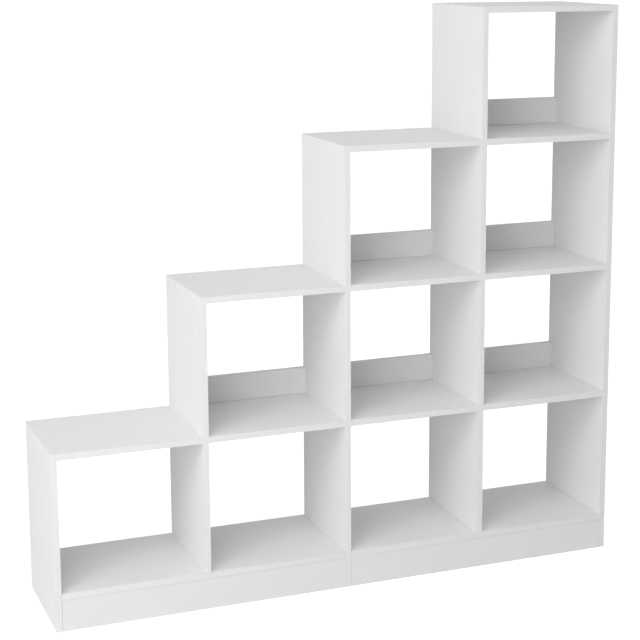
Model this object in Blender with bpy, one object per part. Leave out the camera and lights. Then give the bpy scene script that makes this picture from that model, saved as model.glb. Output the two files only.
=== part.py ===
# Stair-step cube bookcase: four columns of one, two, three and four open cells.
# Uprights run past the shelves. Every shelf hangs between two uprights on connecting
# bolts, which cams in its underside draw tight, with glued dowels beside them.
# X runs along the width, the front faces -Y, and the floor is Z = 0.
import math

import bmesh
import bpy
from mathutils import Matrix, Vector

# Boards and cells, in metres
BOARD = 0.015  # thickness of uprights, shelves, bottom boards and plinths
DEPTH = 0.295  # front edge to back edge
CELL_WIDTH = 0.344  # clear width between two uprights
CELL_HEIGHT = 0.320  # clear height of a cell
TOP_CELL_HEIGHT = 0.305  # clear height of the cell in the highest level
PLINTH_HEIGHT = 0.076  # floor to the underside of the bottom boards
RAIL_HEIGHT = 0.068  # back rail that stands on each upper shelf
RAIL_THICKNESS = 0.015
RAIL_INSET = 0.0055  # back edge of the boards to the rail's rear face
REAR_PLINTH_INSET = 0.020  # back edge of the boards to the rear plinth
ARRIS = 0.0006  # flat that eases each banded long edge

# Cells in each column, from left to right, and the uprights, two of which reach the floor
CELLS = (1, 2, 3, 4)
UPRIGHTS = ("side_left", "divider_1", "divider_2", "divider_3", "side_right")
ON_THE_FLOOR = ("side_left", "divider_2")

# Fits
SEAT = 0.0003  # gap between two pieces that touch
PLINTH_PLAY = 0.0004  # slightly open joint beside a plinth's end
BORE_PLAY = 0.0003  # bore radius over the radius of what it takes
END_PLAY = 0.0005  # room past the end of a dowel, bolt or screw
OVERCUT = 0.0010  # how far a cutter or a dowel runs past the face that it crosses
MITRE_TIP = 0.0004  # flat left at the tip of the mitred bottom board

# Dowels, glued into the piece that they stand out of
DOWEL_RADIUS = 0.004
DOWEL_EDGE = 0.030  # dowel axis to the front or back edge of the board
DOWEL_WEB = 0.001  # left between two dowels that meet back to back in an upright
TOP_DOWEL_REACH = 0.009  # plinth dowel above the plinth's top edge
LONG_DOWEL_REACH = 0.030  # dowel that pins the mitre under the right side
RAIL_DOWEL_EDGE = 0.018  # dowel axis to the rail's top or bottom edge
PLINTH_DOWEL_END = 0.060  # plinth's end to its first top dowel

# Connecting bolts and the cams that hold them
BOLT_STEP = 0.032  # bolt axis to the axis of the dowel beside it
BOLT_WEB = 0.004  # left behind a bolt's thread in an upright
BOLT_RADIUS = 0.003
BOLT_NECK_RADIUS = 0.0018
BOLT_NECK_LENGTH = 0.005
BOLT_HEAD_RADIUS = 0.0032
BOLT_HEAD_LENGTH = 0.004
BOLT_HEAD_TAPER = 0.7  # end radius of the head over its full radius
BOLT_SLEEVE_PLAY = 0.0008  # radius of the bore in a shelf's end over the bolt's head
CAM_RADIUS = 0.0075
CAM_SETBACK = 0.024  # cam axis to the upright's face
CAM_ROOF = 0.0025  # left above a cam's pocket

# Screws from below into the uprights that stand on a bottom board
SCREW_LENGTH = 0.050
SCREW_RADIUS = 0.0032
SCREW_HEAD_RADIUS = 0.005
SCREW_HEAD_HEIGHT = 0.003

# Sides of the round forms
BORE_SIDES = 8
CAM_SIDES = 12

# Finishes: colour, roughness and metallic
WHITE_BOARD = ((0.80, 0.80, 0.79, 1.0), 0.42, 0.0)
ZINC_STEEL = ((0.62, 0.61, 0.58, 1.0), 0.35, 1.0)

# Lengths that follow
COLUMNS = len(CELLS)
LEVELS = max(CELLS)
FLOOR_UPRIGHTS = [UPRIGHTS.index(name) for name in ON_THE_FLOOR]
PITCH = CELL_WIDTH + BOARD
WIDTH = COLUMNS * PITCH + BOARD
FRONT = -DEPTH / 2
BACK = DEPTH / 2
DOWEL_BORE_DEPTH = (BOARD - DOWEL_WEB) / 2
DOWEL_YS = (FRONT + DOWEL_EDGE, BACK - DOWEL_EDGE)
BOLT_YS = {"front": DOWEL_YS[0] + BOLT_STEP, "rear": DOWEL_YS[1] - BOLT_STEP}
RAIL_Y = BACK - RAIL_INSET - RAIL_THICKNESS / 2
PLINTH_YS = {"front": FRONT + BOARD / 2, "rear": BACK - REAR_PLINTH_INSET - BOARD / 2}
AXES = {"x": Vector((1, 0, 0)), "z": Vector((0, 0, 1))}


def left_face(upright):
    return -WIDTH / 2 + upright * PITCH


def right_face(upright):
    return left_face(upright) + BOARD


def underside(level):
    if level == 0:
        return PLINTH_HEIGHT
    clear = TOP_CELL_HEIGHT if level == LEVELS else CELL_HEIGHT
    return top_face(level - 1) + clear


def top_face(level):
    return underside(level) + BOARD


def shelf_sides(upright, level):
    """The sides, -1 for left and 1 for right, on which a shelf meets an upright."""
    sides = []
    if upright > 0 and level <= CELLS[upright - 1]:
        sides.append(-1)
    if upright < COLUMNS and level <= CELLS[upright]:
        sides.append(1)
    return sides


def rail_levels(column):
    """Shelves of a column that have a cell above them and so carry a back rail."""
    return range(1, CELLS[column])


def rail_dowel_heights():
    """Heights of a rail's dowels over the shelf that it stands on."""
    return (SEAT + RAIL_DOWEL_EDGE, RAIL_HEIGHT - RAIL_DOWEL_EDGE)


def add_turned(bm, profile, sides, point, axis):
    """Adds a closed turned form: profile holds (distance along the axis, radius) pairs."""
    turn = Vector(axis).to_track_quat("Z", "Y").to_matrix().to_4x4()
    place = Matrix.Translation(point) @ turn
    angles = [math.tau * (i + 0.5) / sides for i in range(sides)]
    rings = []
    for along, radius in profile:
        spots = [Vector((radius * math.cos(a), radius * math.sin(a), along)) for a in angles]
        rings.append([bm.verts.new(place @ spot) for spot in spots])
    for lower, upper in zip(rings, rings[1:]):
        for i in range(sides):
            j = (i + 1) % sides
            bm.faces.new((lower[i], lower[j], upper[j], upper[i]))
    bm.faces.new(rings[0][::-1])
    bm.faces.new(rings[-1])


def rod(bm, radius, point, axis, start, end, sides=BORE_SIDES):
    add_turned(bm, ((start, radius), (end, radius)), sides, point, axis)


def eased_box(bm, size, along):
    """A box about the origin whose four edges along one axis are eased."""
    bmesh.ops.create_cube(bm, size=1.0, matrix=Matrix.Diagonal((*size, 1.0)))
    direction = AXES[along]
    edges = []
    for edge in bm.edges:
        run = (edge.verts[1].co - edge.verts[0].co).normalized()
        if abs(run.dot(direction)) > 0.5:
            edges.append(edge)
    bmesh.ops.bevel(bm, geom=edges, offset=ARRIS, segments=1, affect="EDGES")


def mesh_of(bm, name):
    mesh = bpy.data.meshes.new(name)
    bm.to_mesh(mesh)
    bm.free()
    return mesh


def place_object(name, mesh, location=(0, 0, 0)):
    thing = bpy.data.objects.new(name, mesh)
    thing.location = location
    bpy.context.scene.collection.objects.link(thing)
    return thing


def add_boolean(thing, operation, helper):
    helper.hide_render = True
    helper.display_type = "WIRE"
    modifier = thing.modifiers.new(operation.lower(), "BOOLEAN")
    modifier.operation = operation
    modifier.solver = "EXACT"
    modifier.object = helper


def finished_mesh(name, blank, dowels=None, bores=None):
    """Joins the dowels to a blank and cuts the bores; all three are bmeshes."""
    thing = place_object(name, mesh_of(blank, name))
    helpers = []
    for operation, form in (("UNION", dowels), ("DIFFERENCE", bores)):
        if form is not None and form.verts:
            helper = place_object(name + "_" + operation.lower(), mesh_of(form, name))
            add_boolean(thing, operation, helper)
            helpers.append(helper)
    bpy.context.view_layer.update()
    graph = bpy.context.evaluated_depsgraph_get()
    mesh = bpy.data.meshes.new_from_object(thing.evaluated_get(graph))
    mesh.name = name
    for helper in [thing] + helpers:
        bpy.data.objects.remove(helper)
    return mesh


def set_finish(thing, finish):
    colour, roughness, metallic = finish
    material = bpy.data.materials.new(thing.name)
    material.use_nodes = True
    shader = material.node_tree.nodes["Principled BSDF"]
    shader.inputs["Base Color"].default_value = colour
    shader.inputs["Roughness"].default_value = roughness
    shader.inputs["Metallic"].default_value = metallic
    thing.data.materials.clear()
    thing.data.materials.append(material)


def end_dowels(bm, half_length, spots):
    """Dowels at both ends of a board along X, at the given (y, z) spots."""
    reach = SEAT + DOWEL_BORE_DEPTH - END_PLAY
    for side in (-1, 1):
        for y, z in spots:
            point = (side * half_length, y, z)
            rod(bm, DOWEL_RADIUS, point, (side, 0, 0), -OVERCUT, reach)


def upright_bores(upright, foot):
    """Every bore of an upright, for shelves, rails, bottom boards, plinths and screws."""
    bm = bmesh.new()
    faces = {-1: left_face(upright), 1: right_face(upright)}
    dowel_bore = DOWEL_RADIUS + BORE_PLAY
    bolt_bore = BOLT_RADIUS + BORE_PLAY
    for level in range(1, LEVELS + 1):
        sides = shelf_sides(upright, level)
        height = underside(level) + BOARD / 2
        for y in BOLT_YS.values():
            if len(sides) == 2:
                rod(bm, bolt_bore, (faces[-1], y, height), (1, 0, 0), -OVERCUT, BOARD + OVERCUT)
            elif sides:
                side, depth = sides[0], BOARD - BOLT_WEB
                rod(bm, bolt_bore, (faces[side], y, height), (-side, 0, 0), -OVERCUT, depth)
        for side in sides:
            for y in DOWEL_YS:
                point = (faces[side], y, height)
                rod(bm, dowel_bore, point, (-side, 0, 0), -OVERCUT, DOWEL_BORE_DEPTH)
            column = upright - 1 if side < 0 else upright
            if level in rail_levels(column):
                for over in rail_dowel_heights():
                    point = (faces[side], RAIL_Y, top_face(level) + over)
                    rod(bm, dowel_bore, point, (-side, 0, 0), -OVERCUT, DOWEL_BORE_DEPTH)
    if upright in FLOOR_UPRIGHTS:
        for side in shelf_sides(upright, 1):
            spots = [(y, PLINTH_HEIGHT + BOARD / 2) for y in DOWEL_YS]
            spots += [(y, PLINTH_HEIGHT / 2) for y in PLINTH_YS.values()]
            for y, z in spots:
                rod(bm, dowel_bore, (faces[side], y, z), (-side, 0, 0), -OVERCUT, DOWEL_BORE_DEPTH)
    elif upright < COLUMNS:
        centre = (faces[-1] + faces[1]) / 2
        depth = SCREW_LENGTH - BOARD + END_PLAY
        for y in BOLT_YS.values():
            rod(bm, SCREW_RADIUS + BORE_PLAY, (centre, y, foot), (0, 0, 1), -OVERCUT, depth)
    return bm


def make_upright(upright):
    name = UPRIGHTS[upright]
    level = max(CELLS[max(upright - 1, 0):upright + 1])
    foot = 0.0 if upright in FLOOR_UPRIGHTS else top_face(0) + SEAT
    height = top_face(level) - foot
    centre = Vector((left_face(upright) + BOARD / 2, 0, foot + height / 2))
    blank = bmesh.new()
    eased_box(blank, (BOARD, DEPTH, height), "z")
    dowels = bmesh.new()
    if upright == COLUMNS:
        for y in DOWEL_YS:
            reach = SEAT + LONG_DOWEL_REACH - END_PLAY
            rod(dowels, DOWEL_RADIUS, (0, y, -height / 2), (0, 0, -1), -OVERCUT, reach)
    bores = upright_bores(upright, foot)
    bmesh.ops.translate(bores, vec=-centre, verts=bores.verts)
    thing = place_object(name, finished_mesh(name, blank, dowels, bores), centre)
    set_finish(thing, WHITE_BOARD)


def shelf_mesh():
    """One shelf about its centre; the boards that close the columns are the same."""
    length = CELL_WIDTH - 2 * SEAT
    blank = bmesh.new()
    eased_box(blank, (length, DEPTH, BOARD), "x")
    dowels = bmesh.new()
    end_dowels(dowels, length / 2, [(y, 0) for y in DOWEL_YS])
    bores = bmesh.new()
    cam_x = CELL_WIDTH / 2 - CAM_SETBACK
    sleeve = max(BOLT_RADIUS, BOLT_HEAD_RADIUS) + BOLT_SLEEVE_PLAY
    for side in (-1, 1):
        for y in BOLT_YS.values():
            cam = (side * cam_x, y, -BOARD / 2)
            rod(bores, CAM_RADIUS, cam, (0, 0, 1), -OVERCUT, BOARD - CAM_ROOF, CAM_SIDES)
    pockets = finished_mesh("shelf", blank, dowels, bores)
    blank = bmesh.new()
    blank.from_mesh(pockets)
    bores = bmesh.new()
    for side in (-1, 1):
        for y in BOLT_YS.values():
            rod(bores, sleeve, (side * cam_x, y, 0), (side, 0, 0), 0, CAM_SETBACK)
    return finished_mesh("shelf", blank, None, bores)


def make_shelves():
    mesh = shelf_mesh()
    for column, cells in enumerate(CELLS):
        for level in range(1, cells + 1):
            name = f"shelf_column_{column + 1}_level_{level}"
            if level == cells:
                name = f"top_board_column_{column + 1}"
            x = right_face(column) + CELL_WIDTH / 2
            thing = place_object(name, mesh.copy(), (x, 0, underside(level) + BOARD / 2))
            set_finish(thing, WHITE_BOARD)


def make_back_rails():
    length = CELL_WIDTH - 2 * SEAT
    height = RAIL_HEIGHT - SEAT
    blank = bmesh.new()
    eased_box(blank, (length, RAIL_THICKNESS, height), "x")
    dowels = bmesh.new()
    middle = SEAT + height / 2
    end_dowels(dowels, length / 2, [(0, over - middle) for over in rail_dowel_heights()])
    mesh = finished_mesh("back_rail", blank, dowels)
    for column in range(COLUMNS):
        for level in rail_levels(column):
            name = f"back_rail_column_{column + 1}_level_{level}"
            x = right_face(column) + CELL_WIDTH / 2
            thing = place_object(name, mesh.copy(), (x, RAIL_Y, top_face(level) + middle))
            set_finish(thing, WHITE_BOARD)


def screw_profile(play):
    """Countersunk screw from its head upwards; play widens it into its own bore."""
    return (
        (-play, SCREW_HEAD_RADIUS + play),
        (SCREW_HEAD_HEIGHT, SCREW_RADIUS + play),
        (SCREW_LENGTH, SCREW_RADIUS + play),
    )


def base_bays():
    """Runs of columns between the uprights that reach the floor, and the right end."""
    stops = FLOOR_UPRIGHTS + [COLUMNS]
    return list(zip(("left", "right"), stops, stops[1:]))


def plinth_span(first, last):
    """Left and right ends of the plinths of a bay, each with its open joint."""
    inner_play = PLINTH_PLAY if last == COLUMNS else SEAT
    return right_face(first) + PLINTH_PLAY, left_face(last) - inner_play


def plinth_dowel_xs(first, last):
    left, right = plinth_span(first, last)
    return (left + PLINTH_DOWEL_END, right - PLINTH_DOWEL_END)


def mitre_wedge(bm, drop, above):
    """Cutter whose sloping face is the mitre plane, lowered by drop."""
    edge = WIDTH / 2
    low = PLINTH_HEIGHT - MITRE_TIP - drop
    start = Vector((edge - BOARD - OVERCUT, 0, low - OVERCUT))
    end = Vector((edge + OVERCUT, 0, low + BOARD + OVERCUT))
    corner = Vector((start.x, 0, end.z)) if above else Vector((end.x, 0, start.z))
    half = Vector((0, DEPTH / 2 + OVERCUT, 0))
    front = [bm.verts.new(p - half) for p in (start, end, corner)]
    back = [bm.verts.new(p + half) for p in (start, end, corner)]
    bm.faces.new(front)
    bm.faces.new(back[::-1])
    for i in range(3):
        j = (i + 1) % 3
        bm.faces.new((front[j], front[i], back[i], back[j]))
    bmesh.ops.recalc_face_normals(bm, faces=bm.faces)


def cut_mitre(name, mesh, centre, drop, above):
    blank = bmesh.new()
    blank.from_mesh(mesh)
    wedge = bmesh.new()
    mitre_wedge(wedge, drop, above)
    bmesh.ops.translate(wedge, vec=-centre, verts=wedge.verts)
    return finished_mesh(name, blank, None, wedge)


def make_bottom_board(bay, first, last):
    name = f"bottom_board_{bay}"
    mitred = last == COLUMNS
    left = right_face(first) + SEAT
    right = WIDTH / 2 if mitred else left_face(last) - SEAT
    centre = Vector(((left + right) / 2, 0, PLINTH_HEIGHT + BOARD / 2))
    blank = bmesh.new()
    eased_box(blank, (right - left, DEPTH, BOARD), "x")
    dowels = bmesh.new()
    for side, x in ((-1, left), (1, right)):
        if mitred and side == 1:
            continue
        for y in DOWEL_YS:
            point = (x - centre.x, y, 0)
            reach = SEAT + DOWEL_BORE_DEPTH - END_PLAY
            rod(dowels, DOWEL_RADIUS, point, (side, 0, 0), -OVERCUT, reach)
    bores = bmesh.new()
    for y in BOLT_YS.values():
        for upright in range(first + 1, last):
            point = (left_face(upright) + BOARD / 2, y, PLINTH_HEIGHT)
            add_turned(bores, screw_profile(BORE_PLAY), BORE_SIDES, point, (0, 0, 1))
    for x in plinth_dowel_xs(first, last):
        for y in PLINTH_YS.values():
            point = (x, y, PLINTH_HEIGHT)
            bore = DOWEL_RADIUS + BORE_PLAY
            rod(bores, bore, point, (0, 0, 1), -OVERCUT, TOP_DOWEL_REACH + END_PLAY)
    if mitred:
        for y in DOWEL_YS:
            point = (WIDTH / 2 - BOARD / 2, y, PLINTH_HEIGHT)
            bore = DOWEL_RADIUS + BORE_PLAY
            rod(bores, bore, point, (0, 0, 1), -OVERCUT, BOARD + OVERCUT)
    bmesh.ops.translate(bores, vec=-centre, verts=bores.verts)
    mesh = finished_mesh(name, blank, dowels, bores)
    if mitred:
        mesh = cut_mitre(name, mesh, centre, 0, False)
    set_finish(place_object(name, mesh, centre), WHITE_BOARD)


def make_plinths(bay, first, last):
    left, right = plinth_span(first, last)
    height = PLINTH_HEIGHT - SEAT
    for place, y in PLINTH_YS.items():
        name = f"plinth_{place}_{bay}"
        centre = Vector(((left + right) / 2, y, height / 2))
        blank = bmesh.new()
        eased_box(blank, (right - left, BOARD, height), "x")
        dowels = bmesh.new()
        for x in plinth_dowel_xs(first, last):
            point = (x - centre.x, 0, height / 2)
            rod(dowels, DOWEL_RADIUS, point, (0, 0, 1), -OVERCUT, SEAT + TOP_DOWEL_REACH)
        half = (right - left) / 2
        for side, face in ((-1, right_face(first)), (1, left_face(last))):
            reach = abs(face - centre.x) - half + DOWEL_BORE_DEPTH - END_PLAY
            point = (side * half, 0, PLINTH_HEIGHT / 2 - centre.z)
            rod(dowels, DOWEL_RADIUS, point, (side, 0, 0), -OVERCUT, reach)
        thing = place_object(name, finished_mesh(name, blank, dowels), centre)
        set_finish(thing, WHITE_BOARD)


def make_base_end():
    """Board under the right side: its top is mitred to the bottom board's end."""
    name = "base_end_right"
    inner = left_face(COLUMNS)
    height = PLINTH_HEIGHT + BOARD
    centre = Vector((inner + BOARD / 2, 0, height / 2))
    blank = bmesh.new()
    eased_box(blank, (BOARD, DEPTH, height), "z")
    bores = bmesh.new()
    bore = DOWEL_RADIUS + BORE_PLAY
    for y in DOWEL_YS:
        point = (centre.x, y, top_face(0))
        rod(bores, bore, point, (0, 0, -1), -OVERCUT, LONG_DOWEL_REACH)
    for y in PLINTH_YS.values():
        point = (inner, y, PLINTH_HEIGHT / 2)
        rod(bores, bore, point, (1, 0, 0), -OVERCUT, DOWEL_BORE_DEPTH)
    bmesh.ops.translate(bores, vec=-centre, verts=bores.verts)
    mesh = finished_mesh(name, blank, None, bores)
    mesh = cut_mitre(name, mesh, centre, SEAT * math.sqrt(2), True)
    set_finish(place_object(name, mesh, centre), WHITE_BOARD)


def bolt_end_profile():
    """Shank, neck and head of a connecting bolt, outwards from the upright's face."""
    head = CAM_SETBACK - BOLT_HEAD_LENGTH / 2
    neck = head - BOLT_NECK_LENGTH
    return [
        (neck, BOLT_RADIUS),
        (neck, BOLT_NECK_RADIUS),
        (head, BOLT_NECK_RADIUS),
        (head, BOLT_HEAD_RADIUS),
        (head + BOLT_HEAD_LENGTH, BOLT_HEAD_RADIUS * BOLT_HEAD_TAPER),
    ]


def make_bolts():
    """One bolt for each front and rear place where shelves meet an upright."""
    outer = bolt_end_profile()
    single = [(-(BOARD - BOLT_WEB - END_PLAY), BOLT_RADIUS)] + outer
    double = [(-BOARD - along, radius) for along, radius in reversed(outer)] + outer
    for upright, owner in enumerate(UPRIGHTS):
        for level in range(1, LEVELS + 1):
            sides = shelf_sides(upright, level)
            for place, y in BOLT_YS.items():
                if not sides:
                    continue
                bm = bmesh.new()
                profile = double if len(sides) == 2 else single
                add_turned(bm, profile, BORE_SIDES, (0, 0, 0), (sides[-1], 0, 0))
                face = right_face(upright) if sides[-1] > 0 else left_face(upright)
                name = f"bolt_{owner}_level_{level}_{place}"
                spot = (face, y, underside(level) + BOARD / 2)
                thing = place_object(name, mesh_of(bm, name), spot)
                smooth(thing)
                set_finish(thing, ZINC_STEEL)


def make_screws():
    """Two screws from below for each upright that stands on a bottom board."""
    for upright in range(1, COLUMNS):
        if upright in FLOOR_UPRIGHTS:
            continue
        for place, y in BOLT_YS.items():
            bm = bmesh.new()
            add_turned(bm, screw_profile(0), BORE_SIDES, (0, 0, 0), (0, 0, 1))
            name = f"screw_{UPRIGHTS[upright]}_{place}"
            spot = (left_face(upright) + BOARD / 2, y, PLINTH_HEIGHT)
            thing = place_object(name, mesh_of(bm, name), spot)
            smooth(thing)
            set_finish(thing, ZINC_STEEL)


def smooth(thing):
    thing.data.shade_smooth()
    thing.data.set_sharp_from_angle(angle=math.radians(50))


def main():
    for thing in list(bpy.data.objects):
        bpy.data.objects.remove(thing)
    for upright in range(len(UPRIGHTS)):
        make_upright(upright)
    make_shelves()
    make_back_rails()
    for bay, first, last in base_bays():
        make_bottom_board(bay, first, last)
        make_plinths(bay, first, last)
    make_base_end()
    make_bolts()
    make_screws()


main()
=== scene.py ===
import math

import bmesh
import bpy
from mathutils import Matrix, Vector


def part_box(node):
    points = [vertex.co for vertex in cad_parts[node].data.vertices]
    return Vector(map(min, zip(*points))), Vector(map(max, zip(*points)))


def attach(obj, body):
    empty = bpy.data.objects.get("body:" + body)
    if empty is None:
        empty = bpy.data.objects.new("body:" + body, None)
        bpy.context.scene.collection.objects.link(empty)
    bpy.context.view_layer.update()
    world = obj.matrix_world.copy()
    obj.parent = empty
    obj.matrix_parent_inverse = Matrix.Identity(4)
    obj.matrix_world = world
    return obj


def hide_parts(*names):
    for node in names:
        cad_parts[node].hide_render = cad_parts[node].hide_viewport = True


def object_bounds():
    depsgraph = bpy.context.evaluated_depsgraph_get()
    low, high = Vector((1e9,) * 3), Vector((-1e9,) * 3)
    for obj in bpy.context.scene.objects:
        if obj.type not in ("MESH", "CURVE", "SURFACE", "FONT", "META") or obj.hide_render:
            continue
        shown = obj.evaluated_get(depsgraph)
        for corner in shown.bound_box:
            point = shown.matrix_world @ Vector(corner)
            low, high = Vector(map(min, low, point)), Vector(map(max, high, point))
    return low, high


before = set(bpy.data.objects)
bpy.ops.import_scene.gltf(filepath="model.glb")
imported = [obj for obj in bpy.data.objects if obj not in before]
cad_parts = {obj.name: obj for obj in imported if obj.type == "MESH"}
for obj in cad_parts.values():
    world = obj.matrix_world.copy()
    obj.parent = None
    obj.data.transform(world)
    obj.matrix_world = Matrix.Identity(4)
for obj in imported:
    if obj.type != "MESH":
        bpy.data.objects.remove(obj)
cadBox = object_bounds()
box = {node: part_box(node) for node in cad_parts}
print("frame loaded with", len(box), "nodes")

# Clearances between the pieces
fit = {
    "seat": 0.0003,  # between two pieces that touch
    "tight": 0.00005,  # joint that the cams pull shut
    "plinthPlay": 0.0004,  # slightly open joint beside a plinth's end
    "borePlay": 0.0003,  # bore radius over the radius of what it takes
    "endPlay": 0.0005,  # room past the end of a dowel, bolt or screw
    "overcut": 0.0010,  # how far a cutter starts outside the face that it enters
}

uprightNodes = ["side_left", "divider_1", "divider_2", "divider_3", "side_right"]
shelfNodes = [node for node in box if node.startswith(("shelf_", "top_board_"))]
bottomNodes = ["bottom_board_left", "bottom_board_right"]
plinthNodes = [node for node in box if node.startswith("plinth_")]
railNodes = [node for node in box if node.startswith("back_rail_")]
boltNodes = [node for node in box if node.startswith("bolt_")]
screwNodes = [node for node in box if node.startswith("screw_")]

front = cadBox[0].y
back = cadBox[1].y
boardThickness = box["divider_1"][1].x - box["divider_1"][0].x
bottomTop = box["bottom_board_right"][1].z
xAxis, zAxis = Vector((1, 0, 0)), Vector((0, 0, 1))
samePlace = 1e-6  # two places this near to each other count as one
sharpFrom = 35  # degrees between two faces that leave their edge sharp


# Meshes and objects

def newObject(name, mesh):
    thing = bpy.data.objects.new(name, mesh)
    bpy.context.scene.collection.objects.link(thing)
    return thing


def meshFrom(bm, name, materials=()):
    mesh = bpy.data.meshes.new(name)
    bm.to_mesh(mesh)
    bm.free()
    for material in materials:
        mesh.materials.append(material)
    return mesh


def bakeModifiers(thing):
    # the evaluated result becomes the plain mesh of the same object
    bpy.context.view_layer.update()
    graph = bpy.context.evaluated_depsgraph_get()
    mesh = bpy.data.meshes.new_from_object(thing.evaluated_get(graph))
    mesh.name = thing.name
    thing.modifiers.clear()
    thing.data = mesh


def cutWith(thing, cutters):
    # takes each cutter mesh out of the thing, one after another
    helpers = []
    for cutter in cutters:
        helper = newObject(cutter.name, cutter)
        modifier = thing.modifiers.new("cut", "BOOLEAN")
        modifier.operation = "DIFFERENCE"
        modifier.solver = "EXACT"
        modifier.object = helper
        helpers.append(helper)
    bakeModifiers(thing)
    for helper in helpers:
        bpy.data.objects.remove(helper)


def roundShade(mesh):
    mesh.shade_smooth()
    mesh.set_sharp_from_angle(angle=math.radians(sharpFrom))


def stackedRings(name, rings):
    # a closed form from rings of points, each anticlockwise, the lowest first
    bm = bmesh.new()
    layers = [[bm.verts.new(point) for point in ring] for ring in rings]
    count = len(rings[0])
    for lower, upper in zip(layers, layers[1:]):
        for i in range(count):
            j = (i + 1) % count
            bm.faces.new((lower[i], lower[j], upper[j], upper[i]))
    bm.faces.new(layers[0][::-1])
    bm.faces.new(layers[-1])
    return meshFrom(bm, name)


def turnedForm(name, profile, sides):
    # a closed form about z from (height, radius) pairs, lowest first
    turns = [math.tau * i / sides for i in range(sides)]
    return stackedRings(name, [
        [(radius * math.cos(turn), radius * math.sin(turn), height) for turn in turns]
        for height, radius in profile])


def prism(name, outline, bottom, top, topScale=1.0):
    # a closed form from an anticlockwise outline in x and y
    return stackedRings(name, [
        [(x * scale, y * scale, z) for x, y in outline]
        for z, scale in ((bottom, 1.0), (top, topScale))])


def crossOutline(span, width):
    # the outline of a cross recess, anticlockwise from the right arm
    a, b = span / 2, width / 2
    return [(a, -b), (a, b), (b, b), (b, a), (-b, a), (-b, b),
            (-a, b), (-a, -b), (-b, -b), (-b, -a), (b, -a), (b, -b)]


# Node groups and Geometry Nodes

def newGroup(name, kind, inputs, outputs):
    # inputs holds (name, socket type, value) for each value that can be changed
    group = bpy.data.node_groups.new(name, kind)
    for label, socketKind, value in inputs:
        socket = group.interface.new_socket(label, in_out="INPUT", socket_type="NodeSocket" + socketKind)
        if value is not None:
            socket.default_value = value
    for label, socketKind in outputs:
        group.interface.new_socket(label, in_out="OUTPUT", socket_type="NodeSocket" + socketKind)
    return group, group.nodes.new("NodeGroupInput"), group.nodes.new("NodeGroupOutput")


def newTree(name, inputs):
    geometry = ("Geometry", "Geometry")
    return newGroup(name, "GeometryNodeTree", [(*geometry, None), *inputs], [geometry])


def addNode(tree, kind, settings=None, **inputs):
    # inputs are values, or sockets to link from; _0, _1 and so on name an input by its place
    node = tree.nodes.new(kind)
    for label, value in (settings or {}).items():
        setattr(node, label, value)
    for label, value in inputs.items():
        place = int(label[1:]) if label[0] == "_" else label.replace("_", " ")
        socket = node.inputs[place]
        if isinstance(value, bpy.types.NodeSocket):
            tree.links.new(value, socket)
        else:
            socket.default_value = value
    return node


def mathNode(tree, operation, *values):
    places = {f"_{i}": value for i, value in enumerate(values)}
    return addNode(tree, "ShaderNodeMath", {"operation": operation}, **places).outputs[0]


def applyTree(thing, tree, values):
    # sets the modifier's inputs by their identifiers
    modifier = thing.modifiers.new(tree.name, "NODES")
    modifier.node_group = tree
    known = {item.name: item.identifier for item in tree.interface.items_tree if item.in_out == "INPUT"}
    for label, value in values.items():
        modifier[known[label]] = value


def spotValue(tree, label, kind="FLOAT_VECTOR"):
    node = addNode(tree, "GeometryNodeInputNamedAttribute", {"data_type": kind}, Name=label)
    return node.outputs[0]


def turnToAxis(tree):
    # the turn that brings z onto the spot's own axis
    node = addNode(tree, "FunctionNodeAlignRotationToVector", {"axis": "Z"}, Vector=spotValue(tree, "axis"))
    return node.outputs[0]


def copiesAt(tree, points, piece, rotation, material, **scale):
    # real copies of the piece, one at every point
    copies = addNode(tree, "GeometryNodeInstanceOnPoints", Points=points, Instance=piece, Rotation=rotation,
                     **scale)
    solid = addNode(tree, "GeometryNodeRealizeInstances", Geometry=copies.outputs[0])
    node = addNode(tree, "GeometryNodeSetMaterial", Geometry=solid.outputs[0], Material=material)
    return node.outputs[0]


def splitPosition(tree):
    place = addNode(tree, "GeometryNodeInputPosition")
    return addNode(tree, "ShaderNodeSeparateXYZ", _0=place.outputs[0]).outputs


def drawnIn(tree, geometry, x, y, share, height):
    # every point keeps this share of its distance from z, and goes to this height
    spot = addNode(tree, "ShaderNodeCombineXYZ", X=mathNode(tree, "MULTIPLY", x, share),
                   Y=mathNode(tree, "MULTIPLY", y, share), Z=height)
    node = addNode(tree, "GeometryNodeSetPosition", Geometry=geometry, Position=spot.outputs[0])
    return node.outputs[0]


def spotMesh(name, spots, vectors=(), values=()):
    # loose points; every spot is a dictionary with "point" and the named vectors and values
    mesh = bpy.data.meshes.new(name)
    mesh.from_pydata([spot["point"] for spot in spots], [], [])
    for label in vectors:
        layer = mesh.attributes.new(label, "FLOAT_VECTOR", "POINT")
        layer.data.foreach_set("vector", [c for spot in spots for c in spot[label]])
    for label in values:
        layer = mesh.attributes.new(label, "FLOAT", "POINT")
        layer.data.foreach_set("value", [spot[label] for spot in spots])
    return mesh


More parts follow.
